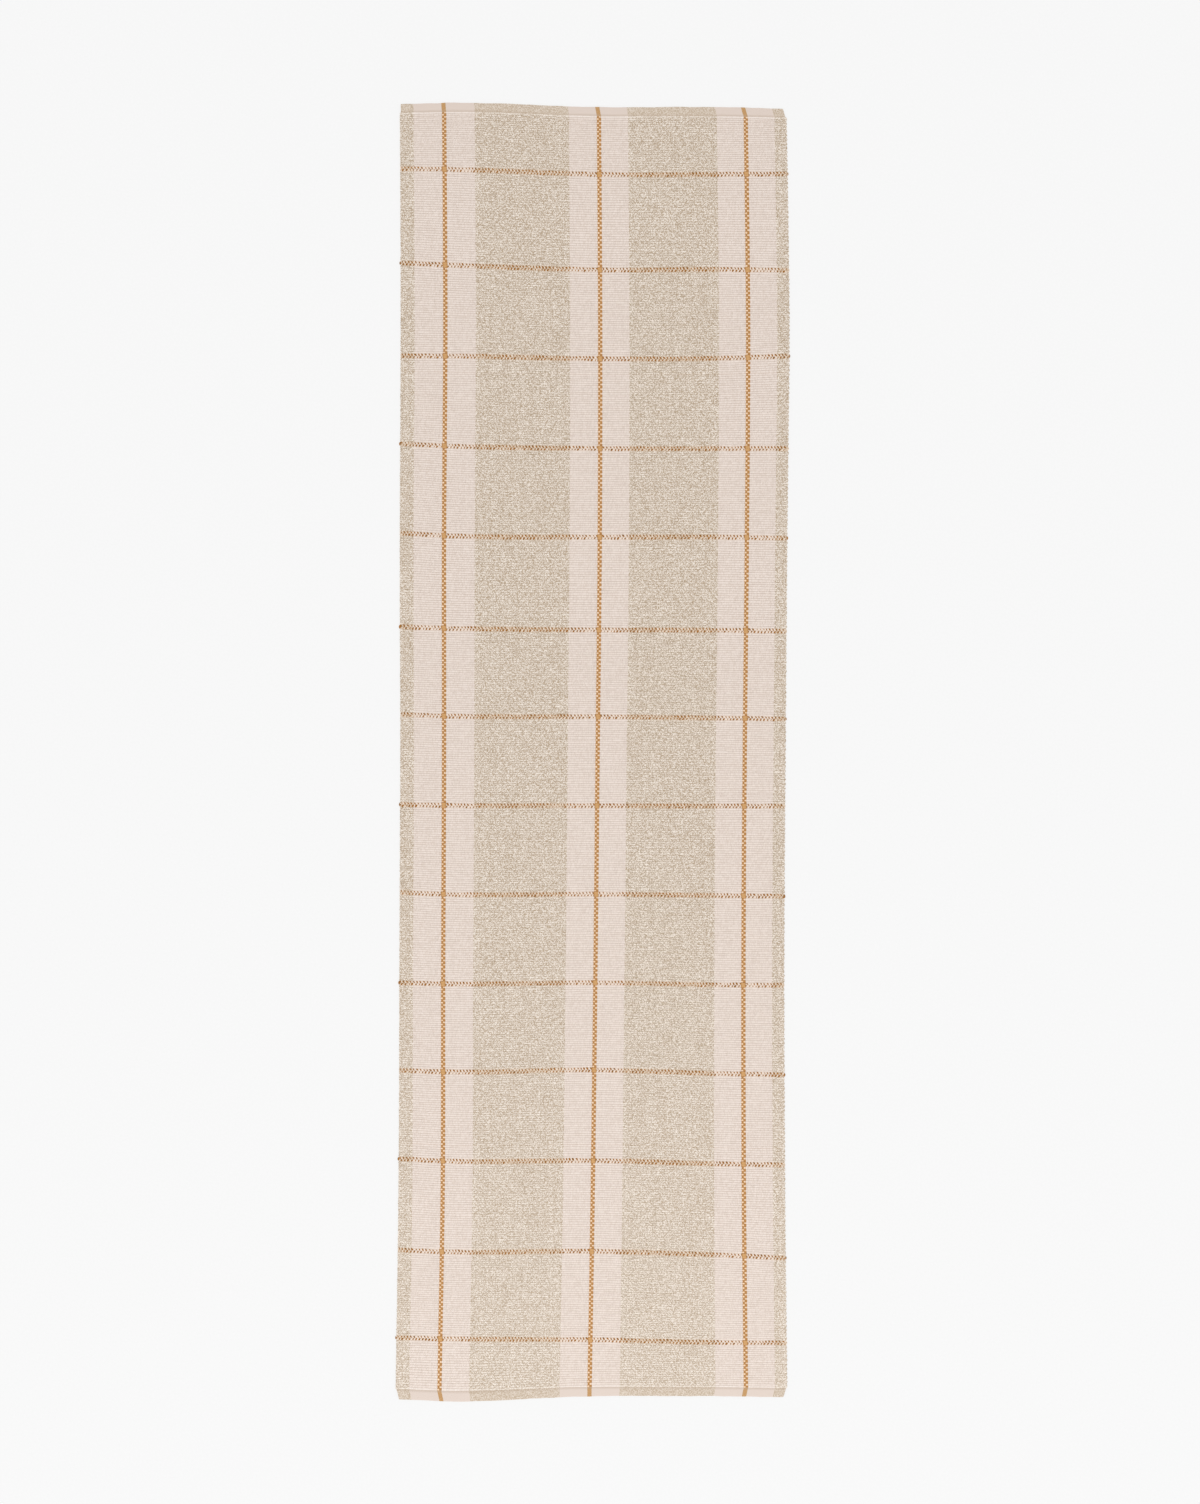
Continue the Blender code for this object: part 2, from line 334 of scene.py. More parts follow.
def rib_edges():
    """The valleys between the ribs, from the far hem to the near one.

    Each accent line is two ribs of half the band, and each bay between two lines is shared
    out evenly among ribs of about the rib pitch, then scattered a little.
    """
    size = sizes()
    half = size.accent_band / 2
    edges, fixed = [], []
    start = FACE_Y["far"]
    for line in [*ACCENT_Y, None]:
        stop = FACE_Y["near"] if line is None else line + half
        count = max(1, round((start - stop) / size.rib_pitch))
        edges.append(np.linspace(start, stop, count + 1)[:-1])
        fixed.append(np.arange(count) == 0)
        if line is not None:
            edges.append(np.linspace(stop, line - half, ACCENT_RIBS + 1)[:-1])
            fixed.append(np.ones(ACCENT_RIBS, bool))
            start = line - half
    edges = np.concatenate([*edges, [FACE_Y["near"]]])
    fixed = np.concatenate([*fixed, [True]])
    stray = (hashed(np.arange(len(edges)), 5.0) - 0.5) * 2 * size.pitch_scatter
    return np.where(fixed, edges, edges + stray)


def accent_rib(edges, line):
    """The number of the first of an accent line's two ribs."""
    top = ACCENT_Y[line - 1] + sizes().accent_band / 2
    return int(np.argmin(np.abs(edges - top)))


def section_ribs(edges, section):
    """The first and last valley of the far, main or near strips."""
    far = accent_rib(edges, FOLD_ACCENTS["far"]) + ACCENT_RIBS + SEAM_RIBS
    near = accent_rib(edges, FOLD_ACCENTS["near"]) - SEAM_RIBS
    last = len(edges) - 1
    return {"far": (0, far), "main": (far, near), "near": (near, last)}[section]


# Rows across one rib, as shares of its depth, close together where it falls to the valley
RIB_ROWS = np.array([0.0, 0.16, 0.38, 0.62, 0.84])


def rib_rows(edges, first, last):
    """Every row of a strip: its rib, share of the rib, crown and place along the cloth.

    The crown is a half circle over each rib, 0 in the valleys and 1 on the crest.
    """
    rib = np.repeat(np.arange(first, last), len(RIB_ROWS))
    share = np.tile(RIB_ROWS, last - first)
    rib, share = np.append(rib, last), np.append(share, 0.0)
    after = np.minimum(rib + 1, len(edges) - 1)
    v = edges[rib] * (1 - share) + edges[after] * share
    return rib, share, np.sqrt(np.clip(1 - (2 * share - 1) ** 2, 0, 1)), v


def valley_half():
    """Half the cloth's thickness in a valley."""
    return MID - sizes().rib_relief


def edge_sway(index, rib, share, crown):
    """How far the line between two stripes, or a selvedge, wanders at each row.

    Between stripes the outermost ends step left and right on alternate ribs. The left
    selvedge bulges once on each rib, and the right one once on every two, where the weft
    turns back.
    """
    size = sizes()
    bulge = size.scallop * (0.75 + 0.5 * hashed(rib // 2, index, 3.0))
    if index == 0:
        return 0.9 * size.scallop - bulge * crown
    if index == len(STRIPES):
        wave = np.sin(np.pi * (np.mod(rib, 2) + share) / 2)
        return bulge * (wave**2 + 0.25 * crown) - 0.45 * size.scallop
    step = np.where(np.mod(rib + index, 2) == 0, 1.0, -1.0)
    return step * 0.28 * MM * crown


def ring_mesh(name, rings, creases=()):
    """A closed skin through rings of points, an array of rings, points and coordinates.

    Neighbouring rings are joined by quads, and each end gets a cap of quads between the
    first half of its ring and the second half taken backwards. The caps' rims and the
    lines through the ring points in `creases` stay sharp when the rest is shaded smooth.
    """
    count, around = rings.shape[:2]
    j = np.arange(around)
    k = (j + 1) % around
    here = (np.arange(count - 1) * around)[:, None]
    faces = np.stack([here + j, here + around + j, here + around + k, here + k], axis=-1)
    half = around // 2
    a = np.arange(half - 1)
    cap = np.stack([a, a + 1, around - 2 - a, around - 1 - a], axis=-1)
    quads = np.concatenate([faces.reshape(-1, 4), cap, cap[:, ::-1] + (count - 1) * around])
    mesh = bpy.data.meshes.new(name)
    mesh.vertices.add(count * around)
    mesh.vertices.foreach_set("co", rings.astype(np.float32).ravel())
    mesh.loops.add(quads.size)
    mesh.loops.foreach_set("vertex_index", quads.astype(np.int32).ravel())
    mesh.polygons.add(len(quads))
    mesh.polygons.foreach_set("loop_start", np.arange(0, quads.size, 4, dtype=np.int32))
    mesh.update(calc_edges=True)
    mesh.polygons.foreach_set("use_smooth", np.ones(len(quads), bool))
    ends = np.empty(len(mesh.edges) * 2, np.int32)
    mesh.edges.foreach_get("vertices", ends)
    ring, point = np.divmod(ends.reshape(-1, 2), around)
    along = (point[:, 0] == point[:, 1]) & np.isin(point[:, 0], creases)
    rim = (ring == 0).all(axis=1) | (ring == count - 1).all(axis=1)
    sharp = mesh.attributes.new("sharp_edge", "BOOLEAN", "EDGE")
    sharp.data.foreach_set("value", along | rim)
    return mesh


def add_piece(name, mesh, material, cloth):
    """Links a mesh as a piece, with its material and the pattern's place in the cloth.

    `cloth` holds three numbers for each point: the place across in mm, the place along
    (in ribs, or in a hem in mm), and one that the function that makes the piece explains.
    """
    piece = bpy.data.objects.new(name, mesh)
    bpy.context.scene.collection.objects.link(piece)
    mesh.materials.append(material)
    attribute = mesh.attributes.new("cloth", "FLOAT_VECTOR", "POINT")
    attribute.data.foreach_set("vector", np.asarray(cloth, np.float32).ravel())
    return piece


def join_body(piece, section):
    """Fixes a piece to the middle of the runner, or, for the far and near sections, applies
    its transform to its mesh and leaves it unattached.
    """
    if section == "main":
        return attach(piece, "main")
    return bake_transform(piece)


# ---------------------------------------------------------------- warp stripes


COLUMN_GAP = 11 * MM  # columns across a plain stripe


def strip_columns(index, width):
    """Columns across a stripe, as shares of its width.

    They stand close together over the two round yarns of a rust stripe and at the rounded
    edge of a selvedge.
    """
    if STRIPES[index][1] == "rust":
        return np.array([0.0, 0.08, 0.25, 0.42, 0.5, 0.58, 0.75, 0.92, 1.0])
    if index in (0, len(STRIPES) - 1):
        steps = np.append(np.array([0.0, 0.3, 1.2, 4.5, 9.0]) * MM / width, 1.0)
        return steps if index == 0 else 1 - steps[::-1]
    return np.linspace(0.0, 1.0, max(3, round(width / COLUMN_GAP)) + 1)


def rounding(distance, radius):
    """The height of a round edge as a share of the full height: a quarter circle."""
    t = np.clip(distance / radius, 0.0, 1.0)
    return np.sqrt(1 - (1 - t) ** 2)


def strip_heights(kind, index, share_across, u, rib, crown):
    """Half heights of the upper and the lower skin above the middle of the cloth.

    A rib is its valley height plus its crown. At a selvedge the edge is rounded off. A
    rust stripe is two thick yarns, of which one rides over each rib while the other goes
    under it, and the stripes beside it are nipped in where they meet it.
    """
    size = sizes()
    swell = 1 - size.height_scatter / size.rib_relief * patchy(u, rib, 7 * MM)
    upper = valley_half() + size.rib_relief * crown * swell
    lower = valley_half() + (size.rib_relief - UNDER_GAP) * crown * swell
    if kind == "rust":
        left = share_across < 0.5
        yarn = np.where(left, share_across * 2, share_across * 2 - 1)
        body = np.sqrt(np.clip(1 - (2 * yarn - 1) ** 2, 0, 1))
        over = np.mod(rib + left, 2) == 0
        high = YARN_MIDDLE + (MID + size.rust_yarn_proud - YARN_MIDDLE) * crown
        low = YARN_MIDDLE + 0.25 * MM * crown
        core = np.where(over, high, low), np.where(over, low, np.minimum(high, MID))
        upper = upper * (1 - body) * 0.75 + core[0] * body
        lower = lower * (1 - body) * 0.75 + core[1] * body
    if index == 0 or index == len(STRIPES) - 1:
        across = share_across if index == 0 else 1 - share_across
        width = STRIPE_X[index + 1] - STRIPE_X[index]
        edge = 0.25 + 0.75 * rounding(across * width, EDGE_ROUND)
        upper, lower = upper * edge, lower * edge
    return upper, lower


def pieces_on(index, section):
    """The pieces held in a strip: the rust warp beside it, or the wefts in an oat field."""
    names = []
    if index + 1 < len(STRIPES) and STRIPES[index + 1][1] == "rust":
        names.append(f"woven_{STRIPES[index + 1][0]}_{section}")
    if STRIPES[index][0] == "oat_field_left":
        lines = [n for n in range(1, ACCENTS + 1) if weft_section(n) == section]
        names += [f"laid_rust_weft_{n:02d}" for n in lines]
    return [bpy.data.objects[name] for name in names]


def weave_strip(index, section, edges, material):
    """One warp stripe of one section: a closed skin over its ribs.

    Points are (u + sway + drift across, v + drift along, middle +- half height), where u
    and v run over a grid of columns and of five rows for each rib. The cloth attribute's
    third number is how near the point is to an accent line, or on a rust stripe its
    distance from the middle of the cloth, in mm.
    """
    name, kind = STRIPES[index]
    first, last = section_ribs(edges, section)
    left, right = STRIPE_X[index], STRIPE_X[index + 1]
    rows = [row[:, None] for row in rib_rows(edges, first, last)]
    columns = strip_columns(index, right - left)
    across, rib, share, crown, v = np.broadcast_arrays(columns, *rows)
    u = left + (right - left) * across
    x_drift, y_drift = drift(u, v)
    sway_left = edge_sway(index, rib, share, crown)
    sway_right = edge_sway(index + 1, rib, share, crown)
    x = u + sway_left * (1 - across) + sway_right * across + x_drift
    y = v + y_drift
    upper, lower = strip_heights(kind, index, across, u, rib, crown)
    top = np.stack([x, y, MID + upper], axis=-1)
    under = np.stack([x, y, MID - lower], axis=-1)
    rings = np.concatenate([top, under[:, ::-1]], axis=1)
    starts = [accent_rib(edges, line) for line in range(1, ACCENTS + 1)]
    beside = [np.abs(rib + share - start - ACCENT_RIBS / 2) for start in starts]
    accent = np.clip(ACCENT_RIBS / 2 + 0.5 - np.min(beside, axis=0), 0, 1)
    faces = [
        np.stack([u / MM, rib + share, half / MM if kind == "rust" else accent], axis=-1)
        for half in (upper, lower)
    ]
    cloth = np.concatenate([faces[0], faces[1][:, ::-1]], axis=1)
    count = across.shape[1]
    corners = [0, count - 1, count, 2 * count - 1]
    if index == 0:
        corners = corners[1:3]
    elif index == len(STRIPES) - 1:
        corners = corners[::3]
    mesh = ring_mesh(f"woven_{name}_{section}", rings, corners)
    piece = add_piece(mesh.name, mesh, material, cloth)
    join_body(piece, section)
    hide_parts(f"{name}_{section}")
    if kind != "rust":
        held_on_it = pieces_on(index, section)
    return piece


def weave_stripes(kind, material):
    """Every strip of one cotton, in all three sections."""
    edges = rib_edges()
    for index, (_, cotton) in enumerate(STRIPES):
        if cotton == kind:
            for section in ("far", "main", "near"):
                weave_strip(index, section, edges, material)


# ---------------------------------------------------------------- rust weft


def weft_section(line):
    """The section that a rust weft line goes with, by its number from the far end."""
    if line <= FOLD_ACCENTS["far"]:
        return "far"
    return "near" if line >= FOLD_ACCENTS["near"] else "main"


def weft_lift(u):
    """How far a mark's middle stands above the ribs, and 1 over a rust stripe or else 0.

    Each stripe has its own lift, and the change from one to the next is spread over 2 mm.
    """
    lift = np.full_like(u, MARK_LIFT_MM[STRIPES[0][1]])
    rust = np.zeros_like(u)
    for (_, before), (_, after), x in zip(STRIPES, STRIPES[1:], STRIPE_X[1:-1]):
        t = np.clip((u - x) / (2 * MM) + 0.5, 0, 1)
        lift += (MARK_LIFT_MM[after] - MARK_LIFT_MM[before]) * t
        rust += ((after == "rust") - (before == "rust")) * t
    return lift * MM, rust


def hairpin(picks, reach, step):
    """The path of a yarn that crosses on one pick, turns back and crosses on the other.

    Two straight runs joined by a half circle. Gives the places across and along, and the
    angle that the yarn's left side faces: 0 on the way out and pi on the way back.
    """
    going = np.linspace(-reach, reach, round(2 * reach / step))
    turn = np.linspace(0, math.pi, 7)[1:-1]
    radius, centre = (picks[0] - picks[1]) / 2, (picks[0] + picks[1]) / 2
    u = np.concatenate([going, reach + radius * np.sin(turn), going[::-1]])
    v = np.concatenate([0 * going + picks[0], centre + radius * np.cos(turn), 0 * going + picks[1]])
    return u, v, np.concatenate([0 * going, turn, 0 * going + math.pi])


# Rows across a rust weft, as shares of half its width
WEFT_ROWS = np.array([-1.01, -0.72, -0.26, 0.26, 0.72, 1.01])


def lay_weft(line, edges, material):
    """One accent line: a rust yarn that crosses, turns at a selvedge and comes back.

    A ring of points is carried along that hairpin. Its height follows the rib it lies in,
    plus a ridge that stands up once for each mark pitch and slants one way on the first
    pick and the other way on the second, as the yarn shows between the warp ends. The
    cloth attribute's third number is 1 where it lies over a rust stripe.
    """
    size = sizes()
    rib = accent_rib(edges, line)
    picks = (edges[rib : rib + 2] + edges[rib + 1 : rib + 3]) / 2
    depth = abs(edges[rib] - edges[rib + 1])
    turn_right = line % 2 == 1
    u, v, facing = hairpin(picks, HALF_WIDTH - LOOP_INSET, size.mark_pitch / 7)
    u = u if turn_right else -u
    offsets = WEFT_ROWS * depth / 2
    offsets = offsets[::-1] if turn_right else offsets
    u, v, facing, offsets = np.broadcast_arrays(u[:, None], v[:, None], facing[:, None], offsets)
    skin_u = u + np.sin(facing) * offsets * (1 if turn_right else -1)
    along = np.cos(facing) * offsets
    skin_v = v + along
    way = np.sign(np.cos(facing))
    phase = 2 * math.pi * (u + np.cos(facing) * 0.4 * along) / size.mark_pitch
    scatter = patchy(u, rib + way, size.mark_pitch) - 0.5
    wave = np.cos(phase + math.pi / 2 * np.cos(facing) + 2.2 * scatter)
    lift, over_rust = weft_lift(u)
    drop = MARK_FALL * (2 * along / depth) ** 2 - MARK_SCATTER * scatter
    lift = lift + (size.mark_relief * wave - drop) * (1 - over_rust)
    crown = np.sqrt(np.clip(1 - (2 * offsets / depth) ** 2, 0, 1))
    crown = crown + (1 - crown) * over_rust
    outer = np.clip((np.abs(skin_u) - HALF_WIDTH + LOOP_FLAT) / LOOP_FLAT, 0, 1)
    lift = lift * (1 - outer) + LOOP_LIFT * outer
    half = (valley_half() + size.rib_relief * crown) * (1 - 0.35 * outer) + lift
    x_drift, y_drift = drift(skin_u, skin_v)
    x, y = skin_u + x_drift, skin_v + y_drift
    top = np.stack([x, y, MID + half], axis=-1)
    under = np.stack([x, y, MID - np.minimum(half - UNDER_GAP, MID)], axis=-1)
    rings = np.concatenate([top, under[:, ::-1]], axis=1)
    cloth = np.stack([skin_u / MM, rib + 0.5 + along / depth, over_rust], axis=-1)
    cloth = np.concatenate([cloth, cloth[:, ::-1]], axis=1)
    mesh = ring_mesh(f"laid_rust_weft_{line:02d}", rings)
    piece = add_piece(mesh.name, mesh, material, cloth)
    join_body(piece, weft_section(line))
    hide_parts(f"rust_weft_{line:02d}")
    return piece


# ---------------------------------------------------------------- hems


HEM_COTTONS = ("cream", "oat", "rust")
HEM_COLUMNS = 66


def hem_line(side):
    """The folded cloth's middle line in a hem: distance in from the end, and height.

    The upper layer rises out of the ribs, runs to the end, turns down and back in a half
    circle, and at the hem's inner edge turns up again in a smaller one, so that the raw
    edge is inside.
    """
    size = sizes()
    low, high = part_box(f"hem_{side}")
    depth, half = high.y - low.y, size.hem_layer / 2
    outer = size.hem_layer + size.hem_gap
    inner = outer / 2
    outer_centre, inner_centre = half + outer, depth - half - inner
    level = half + 2 * outer
    rise = [[depth + 1.2 * MM, level - 0.75 * MM], [depth + 0.6 * MM, level - 0.3 * MM]]
    turn = np.linspace(0, math.pi, 7)
    run = np.linspace(depth, outer_centre, 4)[:-1]
    upper = np.stack([run, np.full_like(run, level)], 1)
    out = np.stack([outer_centre - outer * np.sin(turn), level - outer + outer * np.cos(turn)], 1)
    run = np.linspace(outer_centre, inner_centre, 4)[1:-1]
    back = np.stack([run, np.full_like(run, half)], 1)
    up = np.stack([inner_centre + inner * np.sin(turn), half + inner - inner * np.cos(turn)], 1)
    raw = [[outer_centre + size.hem_layer, half + outer]]
    return np.concatenate([rise, upper, out, back, up, raw])


def hem_columns(reach):
    """Columns across a hem: their places, their cottons' numbers in HEM_COTTONS, and how
    far each is from a rust warp.

    They stand close together on both sides of every stripe line, so that each column
    holds one cotton's colour.
    """
    lines = STRIPE_X[1:-1]
    plain = np.linspace(-reach, reach, HEM_COLUMNS)
    plain = plain[np.abs(plain[:, None] - lines).min(axis=1) > 1 * MM]
    columns = np.sort(np.concatenate([plain, lines - 0.3 * MM, lines + 0.3 * MM]))
    numbers = np.array([HEM_COTTONS.index(kind) for _, kind in STRIPES])
    middles = (STRIPE_X[:-1] + STRIPE_X[1:]) / 2
    rust_x = middles[[kind == "rust" for _, kind in STRIPES]]
    from_rust = np.abs(columns[:, None] - rust_x).min(axis=1)
    return columns, numbers[np.searchsorted(lines, columns)], from_rust


def fold_hem(side, material):
    """One hem: the folded line, thickened to both sides, carried across the cloth.

    Toward its fold the hem draws in and slides a little, and the
    rust warps lean further. The cloth attribute's second number is the distance in from the
    end, in mm, and the third is the cotton's number in HEM_COTTONS.
    """
    size = sizes()
    line = hem_line(side)
    slope = np.gradient(line, axis=0)
    slope /= np.linalg.norm(slope, axis=1)[:, None]
    normal = np.stack([-slope[:, 1], slope[:, 0]], 1) * size.hem_layer / 2
    profile = np.concatenate([line - normal, (line + normal)[::-1]])
    if side == "far":
        profile = profile[::-1]
    reach = HALF_WIDTH - size.hem_inset
    columns = [column[:, None] for column in hem_columns(reach)]
    u, number, from_rust, inward, z = np.broadcast_arrays(*columns, *profile.T)
    low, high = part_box(f"hem_{side}")
    end, way = (high.y, 1) if side == "far" else (low.y, -1)
    v = end - way * inward
    to_end = np.clip(1 - inward / (high.y - low.y), 0, 1)
    ripple = (patchy(u, 3.0 + way, 9 * MM) - 0.5) * HEM_RIPPLE
    x_drift, y_drift = drift(u, v)
    lean = RUST_LEAN[side] * np.exp(-((from_rust / LEAN_REACH) ** 2))
    lean = lean + HEM_SLIDE[side] - HEM_DRAW[side] * u
    x = u + x_drift + lean * to_end
    y = v + y_drift + ripple * to_end
    z = z * (1 + 0.04 * (patchy(u, 9.0 + way, 5 * MM) - 0.5))
    cloth = np.stack([u / MM, inward / MM, number], axis=-1)
    mesh = ring_mesh(f"folded_hem_{side}", np.stack([x, y, z], axis=-1))
    piece = add_piece(mesh.name, mesh, material, cloth)
    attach(piece, f"{side}_end")
    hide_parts(f"hem_{side}")
    return piece


STITCH_SWING = 0.8 * MM  # how far a stitch reaches to either side of the hem's inner edge
THREAD_INSET = 0.15 * MM  # how far outside that edge the line of stitches runs
THREAD_HEIGHT = 0.12 * MM  # height of the thread's middle above the table


def sew_hem(side, material):
    """The slip-stitched thread under a hem's inner edge: a round yarn along a sine wave.

    Each wave is one stitch, drawn with eight points or so.
    """
    size = sizes()
    way = 1 if side == "far" else -1
    reach = HALF_WIDTH - size.hem_inset
    count = 4 * round(4 * reach / size.stitch)
    u = np.linspace(-reach, reach, count + 1)[:, None]
    swing = STITCH_SWING * np.sin((u + reach) / size.stitch * 2 * math.pi)
    v = FACE_Y[side] + way * (THREAD_INSET + swing)
    around = np.linspace(0, 2 * math.pi, 7)[:-1]
    radius = size.thread / 2
    x_drift, y_drift = drift(u, v)
    x, y, z = np.broadcast_arrays(
        u + x_drift,
        v + y_drift + radius * np.cos(around),
        THREAD_HEIGHT + radius * np.sin(around),
    )
    cloth = np.stack([x / MM, 0 * x, 0 * x], axis=-1)
    mesh = ring_mesh(f"sewn_hem_thread_{side}", np.stack([x, y, z], axis=-1))
    piece = add_piece(mesh.name, mesh, material, cloth)
    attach(piece, f"{side}_end")
    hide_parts(f"hem_thread_{side}")
    return piece


# ---------------------------------------------------------------- materials


# Width of one warp end, in mm. The real ends are about 0.6 mm wide, which is too fine to
# show with the whole runner in view, so they are drawn as coarse as they need to show.
END_MM = {"cream": 0.9, "oat": 0.8}
PALER_RIBS = (330.0, 560.0)  # between these ribs the oat stripes get slowly paler toward the near end: partly painted light from the lamp beyond that end, partly the cotton's own tone


def node(tree, kind, inputs=(), out=0, **settings):
    """Adds a shader node and returns one of its outputs, by number or name.

    `inputs` holds a socket to link or a value to set for each input, in order or by number
    or name. Each setting is a property of the node.
    """
    made = tree.nodes.new(f"ShaderNode{kind}")
    for key, value in settings.items():
        setattr(made, key, value)
    pairs = inputs.items() if isinstance(inputs, dict) else enumerate(inputs)
    for key, value in pairs:
        if isinstance(value, bpy.types.NodeSocket):
            tree.links.new(value, made.inputs[key])
        else:
            made.inputs[key].default_value = value
    return made.outputs[out]


def cotton(name, roughness, sheen):
    """A new cotton material: its tree, and the three numbers of its cloth attribute."""
    material = bpy.data.materials.new(name)
    material.use_nodes = True
    tree = material.node_tree
    shader = tree.nodes["Principled BSDF"]
    shader.inputs["Roughness"].default_value = roughness
    shader.inputs["Sheen Weight"].default_value = sheen
    shader.inputs["Sheen Roughness"].default_value = 0.5
    shader.inputs["Specular IOR Level"].default_value = 0.25
    place = node(tree, "Attribute", (), "Vector", attribute_name="cloth")
    return material, tree, node(tree, "SeparateXYZ", (place,)).node.outputs


def finish_cotton(tree, ground, layers, height, relief, strength):
    """Lays colours over the ground, each by its own share, and raises the surface by a
    height field from 0 to 1 that is `relief` metres high."""
    for share, tint in layers:
        ground = node(
            tree, "Mix", {0: share, 6: ground, 7: (*tint, 1.0)}, 2, data_type="RGBA"
        )
    bump = node(tree, "Bump", {"Height": height, "Distance": relief, "Strength": strength})
    shader = tree.nodes["Principled BSDF"]
    tree.links.new(ground, shader.inputs["Base Color"])
    tree.links.new(bump, shader.inputs["Normal"])


def warp_face(tree, across, count, end_mm):
    """The face of a warp-faced rib: the rib's number, how deep in a valley, the warp end's
    number, the height of its face, and the place on the cloth in mm.

    The valley is 1 between ribs and 0 on their crests. The ends are `end_mm` wide. They
    lean a little, and move over by half of one at each rib, since odd and even ends cover
    alternate ribs.
    """
    rib = node(tree, "Math", (count,), operation="FLOOR")
    rise = node(tree, "Math", (count, 0.5), operation="PINGPONG")
    valley = node(
        tree, "MapRange", (rise, 0.0, 0.27, 1.0, 0.0), interpolation_type="SMOOTHSTEP"
    )
    ends = node(tree, "Math", (across, 1 / end_mm), operation="MULTIPLY")
    ends = node(tree, "Math", (count, 0.35, ends), operation="MULTIPLY_ADD")
    ends = node(tree, "Math", (rib, 0.15, ends), operation="MULTIPLY_ADD")
    end = node(tree, "Math", (ends,), operation="FLOOR")
    rounded = node(tree, "Math", (ends, 0.5), operation="PINGPONG")
    flatter = node(tree, "MapRange", (valley, 0.0, 1.0, 2.0, 0.8))
    height = node(tree, "Math", (rounded, flatter), operation="MULTIPLY")
    along = node(tree, "Math", (count, sizes().rib_pitch / MM), operation="MULTIPLY")
    return rib, valley, end, height, node(tree, "CombineXYZ", (across, along))


def painted_highlight_by_hem(tree, count, uneven):
    """The share of painted highlight on the first rib beside each hem, which is painted paler."""
    ribs = len(rib_edges()) - 1
    from_hem = node(tree, "Math", (count, ribs / 2), operation="PINGPONG")
    first = node(tree, "MapRange", (from_hem, 0.6, 1.1, 0.7, 0.0))
    return node(tree, "Math", (first, uneven), operation="MULTIPLY")


def melange(tree, end, place):
    """Flecks from 0, light, to 1, dark: each warp end has its own run of dashes about
    1.5 mm long, as fibres of the two shades come to the face."""
    along = node(tree, "SeparateXYZ", (place,), 1)
    own = node(tree, "Math", (end, 17.3), operation="MULTIPLY")
    run = node(tree, "CombineXYZ", (own, along))
    dashes = node(tree, "TexNoise", {"Vector": run, "Scale": 0.65, "Detail": 1.0})
    return node(tree, "MapRange", (dashes, 0.40, 0.60), interpolation_type="SMOOTHSTEP")


def cream_cotton():
    """Undyed cream cotton yarn, two-ply, woven warp-faced: soft, matt and almost even,
    with a shadow line between ribs and slightly darker gaps between the warp ends."""
    dye = colours()
    material, tree, (across, count, accent) = cotton("woven cream cotton", 0.92, 0.12)
    rib, valley, end, height, place = warp_face(tree, across, count, END_MM["cream"])
    cell = node(tree, "CombineXYZ", (end, rib))
    fleck = node(tree, "TexWhiteNoise", {"Vector": cell}, noise_dimensions="2D")
    fleck = node(tree, "MapRange", (fleck, 0.2, 1.0, 0.0, 0.42))
    drawn_out = node(tree, "Mapping", {"Vector": place, "Scale": (1.0, 0.05, 1.0)})
    streak = node(tree, "TexNoise", {"Vector": drawn_out, "Scale": 0.35})
    streak = node(tree, "MapRange", (streak, 0.35, 0.8, 0.0, 0.10))
    uneven = node(tree, "TexNoise", {"Vector": place, "Scale": 0.15})
    uneven = node(tree, "MapRange", (uneven, 0.3, 0.7, 0.3, 0.75))
    # Painted shade: the valleys between the ribs are painted darker, by an uneven share.
    shadow = node(tree, "Math", (valley, uneven), operation="MULTIPLY")
    rusty = node(tree, "Math", (accent, 0.26), operation="MULTIPLY")
    layers = (
        (shadow, dye.darker_cream_and_painted_shade),
        (fleck, dye.darker_cream_and_painted_shade),
        (streak, dye.darker_cream_and_painted_shade),
        (rusty, dye.pale_rust_and_highlight),
        # Painted highlight on the first rib beside each hem.
        (painted_highlight_by_hem(tree, count, uneven), dye.cream_painted_highlight),
    )
    finish_cotton(tree, (*dye.cream, 1.0), layers, height, 0.2 * MM, 0.4)
    return material


def oat_cotton():
    """Melange cotton, spun from cream and grey-brown fibre and woven warp-faced: each warp
    end shows lighter and darker flecks, so the stripe looks like oatmeal."""
    dye = colours()
    material, tree, (across, count, accent) = cotton("woven oat melange cotton", 0.94, 0.12)
    _, valley, end, height, place = warp_face(tree, across, count, END_MM["oat"])
    fleck = melange(tree, end, place)
    # Paler toward the near end: partly painted light from the lamp there, partly the cotton's own
    # tone.
    paler_toward_near_end = node(tree, "MapRange", (count, *PALER_RIBS, 0.0, 0.12))
    drawn_out = node(tree, "Mapping", {"Vector": place, "Scale": (1.0, 0.015, 1.0)})
    streak = node(tree, "TexNoise", {"Vector": drawn_out, "Scale": 0.5})
    streak = node(tree, "MapRange", (streak, 0.35, 0.65, 0.0, 0.16))
    uneven = node(tree, "TexNoise", {"Vector": place, "Scale": 0.15})
    uneven = node(tree, "MapRange", (uneven, 0.3, 0.7, 0.25, 0.5))
    # Painted shade: the valleys between the ribs are painted darker, by an uneven share.
    shadow = node(tree, "Math", (valley, uneven), operation="MULTIPLY")
    rusty = node(tree, "Math", (accent, 0.26), operation="MULTIPLY")
    layers = (
        (fleck, dye.oat_dark),
        (paler_toward_near_end, dye.pale_oat_and_highlight),
        (streak, dye.oat_dark),
        (shadow, dye.oat_painted_shade),
        (rusty, dye.rust),
        # Painted highlight on the first rib beside each hem.
        (painted_highlight_by_hem(tree, count, uneven), dye.pale_oat_and_highlight),
    )
    finish_cotton(tree, (*dye.pale_oat_and_highlight, 1.0), layers, height, 0.2 * MM, 0.5)
    return material


